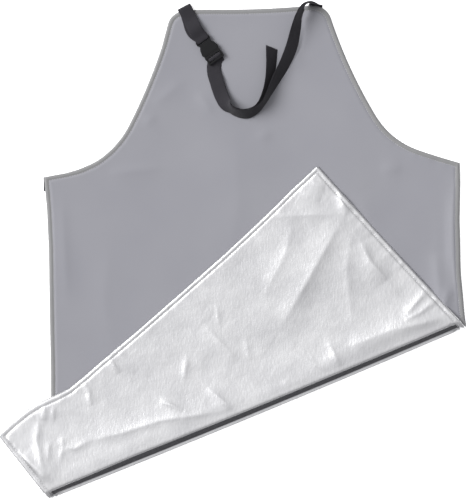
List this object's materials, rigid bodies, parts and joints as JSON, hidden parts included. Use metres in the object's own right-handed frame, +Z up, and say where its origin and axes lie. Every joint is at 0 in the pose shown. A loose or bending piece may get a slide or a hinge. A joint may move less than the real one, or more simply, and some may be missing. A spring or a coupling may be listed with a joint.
{
  "type": "lead apron",
  "caption": "Dental X-ray protection apron lying flat, lower corner folded up over the front, with a webbing neck strap and side-release buckle.",
  "frame": {"origin": "on the resting face, midway between the two underarm corners", "axes": "+X across the apron to the right as it is looked down on, +Y towards the neck, +Z up from the table through the front cover"},
  "size_m": [0.6753, 0.7237, 0.0318],
  "materials": {
    "grey_coated_nylon": "matt polyurethane-coated fine plain weave",
    "aluminised_fabric": "soft metallic sheen on a fine weave",
    "lead_vinyl": "matt",
    "seam_allowance": "matt",
    "grey_thread": "twisted polyester thread",
    "silver_thread": "twisted polyester thread",
    "black_webbing": "ribbed woven polypropylene",
    "buckle_plastic": "satin moulded acetal"
  },
  "bodies": {
    "apron_panel": {"front_cover_panel": "grey_coated_nylon", "back_cover_panel": "aluminised_fabric", "shielding_sheet_front_panel": "lead_vinyl", "shielding_sheet_back_panel": "lead_vinyl", "seam_allowance_panel": "seam_allowance", "topstitch_front_panel": "grey_thread", "front_cover_fold": "grey_coated_nylon", "back_cover_fold": "aluminised_fabric", "shielding_sheet_front_fold": "lead_vinyl", "shielding_sheet_back_fold": "lead_vinyl", "seam_allowance_fold": "seam_allowance", "waist_tab_left": "black_webbing", "waist_tab_right": "black_webbing", "neck_strap_left_anchor": "black_webbing", "neck_strap_right_anchor": "black_webbing", "bartack_left": "grey_thread", "bartack_right": "grey_thread", "neck_strap_left_turn": "black_webbing", "neck_strap_right_turn": "black_webbing"},
    "apron_flap": {"front_cover_flap": "grey_coated_nylon", "back_cover_flap": "aluminised_fabric", "shielding_sheet_front_flap": "lead_vinyl", "shielding_sheet_back_flap": "lead_vinyl", "seam_allowance_flap": "seam_allowance", "topstitch_front_flap": "grey_thread", "topstitch_back_flap": "silver_thread"},
    "neck_loop": {"neck_strap_left": "black_webbing", "neck_strap_right": "black_webbing", "neck_strap_ladder_turn": "black_webbing", "neck_strap_tail": "black_webbing", "buckle_socket": "buckle_plastic", "buckle_plug": "buckle_plastic"},
    "buckle_prong_left": {"buckle_prong_left": "buckle_plastic"},
    "buckle_prong_right": {"buckle_prong_right": "buckle_plastic"}
  },
  "joints": [
    {"name": "flap_fold", "type": "hinge", "parent": "apron_panel", "child": "apron_flap", "pos_m": [0, -0.35075, 0.005], "axis": [0.938, 0.3467, 0], "range_deg": [0, 180], "deforming": ["front_cover_fold", "back_cover_fold", "shielding_sheet_front_fold", "shielding_sheet_back_fold", "seam_allowance_fold"]},
    {"name": "neck_loop_swing", "type": "hinge", "parent": "apron_panel", "child": "neck_loop", "pos_m": [0, 0.247, 0.004], "axis": [-1, 0, 0], "range_deg": [0, 150], "deforming": ["neck_strap_left_turn", "neck_strap_right_turn"]},
    {"name": "prong_left_squeeze", "type": "hinge", "parent": "neck_loop", "child": "buckle_prong_left", "pos_m": [-0.05996, 0.1727, 0.0069], "axis": [0, 0, -1], "range_deg": [0, 14], "stiffness_Nm_per_rad": 0.3},
    {"name": "prong_right_squeeze", "type": "hinge", "parent": "neck_loop", "child": "buckle_prong_right", "pos_m": [-0.04985, 0.17953, 0.0069], "axis": [0, 0, 1], "range_deg": [0, 14], "stiffness_Nm_per_rad": 0.3}
  ]
}
